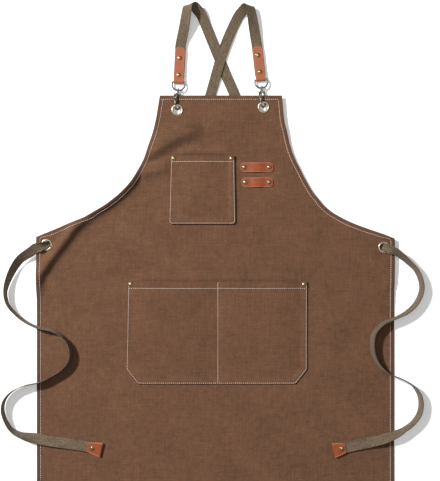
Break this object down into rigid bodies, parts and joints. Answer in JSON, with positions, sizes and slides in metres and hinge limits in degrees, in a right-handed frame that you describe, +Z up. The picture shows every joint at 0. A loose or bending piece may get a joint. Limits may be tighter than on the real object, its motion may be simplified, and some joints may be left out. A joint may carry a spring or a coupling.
{
  "type": "work apron",
  "caption": "Brown canvas work apron with crossed webbing shoulder straps on snap hooks, patch pockets, riveted leather tool loops and side ties.",
  "frame": {"origin": "on the surface the apron lies on, under the middle of the apron without its free straps and ties", "axes": "+X to the right seen from above, +Y from the skirt's hem towards the shoulder straps, +Z up from the surface, out of the apron's front"},
  "size_m": [0.7976, 1.0168, 0.0282],
  "materials": {
    "canvas": "washed cotton canvas",
    "webbing": "woven cotton webbing",
    "leather": "semi-matte, burnished",
    "eyelet_brass": "pale antique",
    "rivet_brass": "antique, polished",
    "hook_steel": "gunmetal plating"
  },
  "bodies": {
    "apron": {"apron_body": "canvas", "chest_pocket": "canvas", "waist_pocket": "canvas", "strap_left": "webbing", "strap_right": "webbing", "tool_loop_upper": "leather", "tool_loop_lower": "leather", "shoulder_tab_left": "leather", "shoulder_tab_right": "leather", "tie_end_left": "leather", "tie_end_right": "leather", "eyelet_bib_left": "eyelet_brass", "eyelet_bib_right": "eyelet_brass", "eyelet_side_left": "eyelet_brass", "eyelet_side_right": "eyelet_brass", "rivet_chest_pocket_1": "rivet_brass", "rivet_chest_pocket_2": "rivet_brass", "rivet_waist_pocket_1": "rivet_brass", "rivet_waist_pocket_2": "rivet_brass", "rivet_loop_upper_1": "rivet_brass", "rivet_loop_upper_2": "rivet_brass", "rivet_loop_lower_1": "rivet_brass", "rivet_loop_lower_2": "rivet_brass", "rivet_shoulder_left_1": "rivet_brass", "rivet_shoulder_left_2": "rivet_brass", "rivet_shoulder_right_1": "rivet_brass", "rivet_shoulder_right_2": "rivet_brass", "rivet_tie_end_left": "rivet_brass", "rivet_tie_end_right": "rivet_brass", "wire_loop_left": "hook_steel", "wire_loop_right": "hook_steel", "swivel_eye_left": "hook_steel", "swivel_eye_right": "hook_steel", "snap_hook_left": "hook_steel", "snap_hook_right": "hook_steel"},
    "bolt_left": {"bolt_left": "hook_steel"},
    "bolt_right": {"bolt_right": "hook_steel"}
  },
  "joints": [
    {"name": "bolt_slide_left", "type": "slide", "parent": "apron", "child": "bolt_left", "axis": [0.0389, 0.9992, 0], "range_m": [0, 0.007], "stiffness_N_per_m": 200},
    {"name": "bolt_slide_right", "type": "slide", "parent": "apron", "child": "bolt_right", "axis": [-0.085, 0.9964, 0], "range_m": [0, 0.007], "stiffness_N_per_m": 200}
  ]
}
